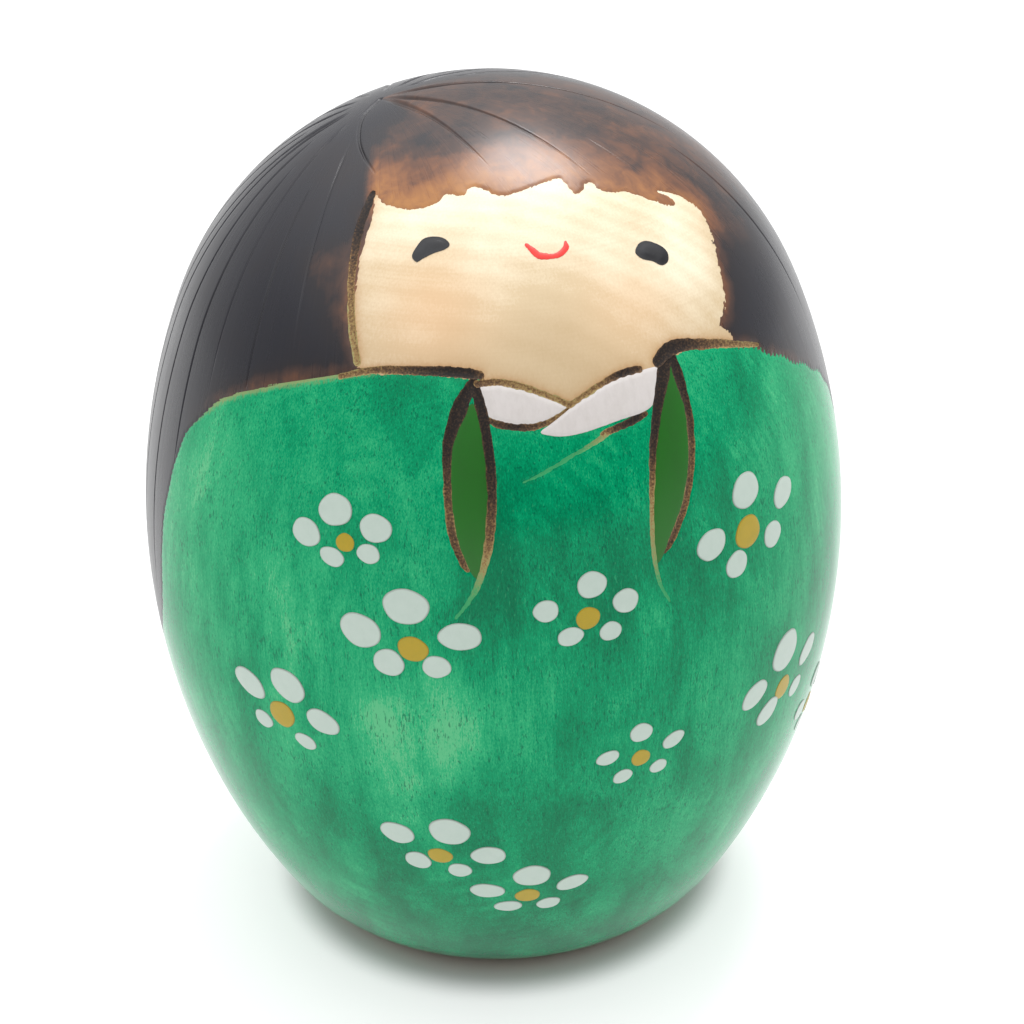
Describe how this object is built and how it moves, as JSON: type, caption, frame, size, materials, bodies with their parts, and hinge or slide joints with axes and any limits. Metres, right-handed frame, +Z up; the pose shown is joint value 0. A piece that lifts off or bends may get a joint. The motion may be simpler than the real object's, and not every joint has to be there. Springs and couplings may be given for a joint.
{
  "type": "kokeshi doll",
  "caption": "Egg-shaped turned wooden kokeshi doll with a flat foot, carved black hair, burnt outlines, a dyed dress and painted blossoms.",
  "frame": {"origin": "centre of the flat foot, on the surface that the doll stands on", "axes": "+Z up along the turning axis, -Y is the way the face looks, +X is the doll's left hand side, on the right as the viewer sees it"},
  "size_m": [0.0808, 0.0806, 0.1004],
  "materials": {
    "bare_wood": "pale close-grained wood, sanded, under clear satin lacquer",
    "hair_lacquer": "black ink and lacquer with burnt brown edges, satin gloss",
    "green_dye": "transparent green dye over the wood grain, satin lacquer",
    "char": "burnt line, dark brown to tan, under clear lacquer",
    "collar_paint": "thin white water paint with the grain showing through, satin lacquer",
    "lining_paint": "opaque dark green paint under lacquer",
    "petal_paint": "raised dab of pale green-white paint under satin lacquer",
    "centre_paint": "raised dab of ochre paint under satin lacquer",
    "eye_paint": "raised glossy black dab",
    "mouth_paint": "thin red brush line"
  },
  "bodies": {
    "root": {"turned_body": "bare_wood", "hair_coat": "hair_lacquer", "dress_coat": "green_dye", "neck_line": "char", "collar_line": "char", "cheek_line": "char", "sleeve_line_left": "char", "sleeve_line_right": "char", "collar_left": "collar_paint", "collar_right": "collar_paint", "sleeve_lining_left": "lining_paint", "sleeve_lining_right": "lining_paint", "eye_left": "eye_paint", "eye_right": "eye_paint", "mouth": "mouth_paint", "flower_01_petals": "petal_paint", "flower_01_centre": "centre_paint", "flower_02_petals": "petal_paint", "flower_02_centre": "centre_paint", "flower_03_petals": "petal_paint", "flower_03_centre": "centre_paint", "flower_04_petals": "petal_paint", "flower_04_centre": "centre_paint", "flower_05_petals": "petal_paint", "flower_05_centre": "centre_paint", "flower_06_petals": "petal_paint", "flower_06_centre": "centre_paint", "flower_07_petals": "petal_paint", "flower_07_centre": "centre_paint", "flower_08_petals": "petal_paint", "flower_08_centre": "centre_paint", "flower_09_petals": "petal_paint", "flower_09_centre": "centre_paint", "flower_10_petals": "petal_paint", "flower_10_centre": "centre_paint", "flower_11_petals": "petal_paint", "flower_11_centre": "centre_paint", "flower_12_petals": "petal_paint", "flower_12_centre": "centre_paint", "flower_13_petals": "petal_paint", "flower_13_centre": "centre_paint", "flower_14_petals": "petal_paint", "flower_14_centre": "centre_paint", "flower_15_petals": "petal_paint", "flower_15_centre": "centre_paint", "flower_16_petals": "petal_paint", "flower_16_centre": "centre_paint"}
  },
  "joints": []
}
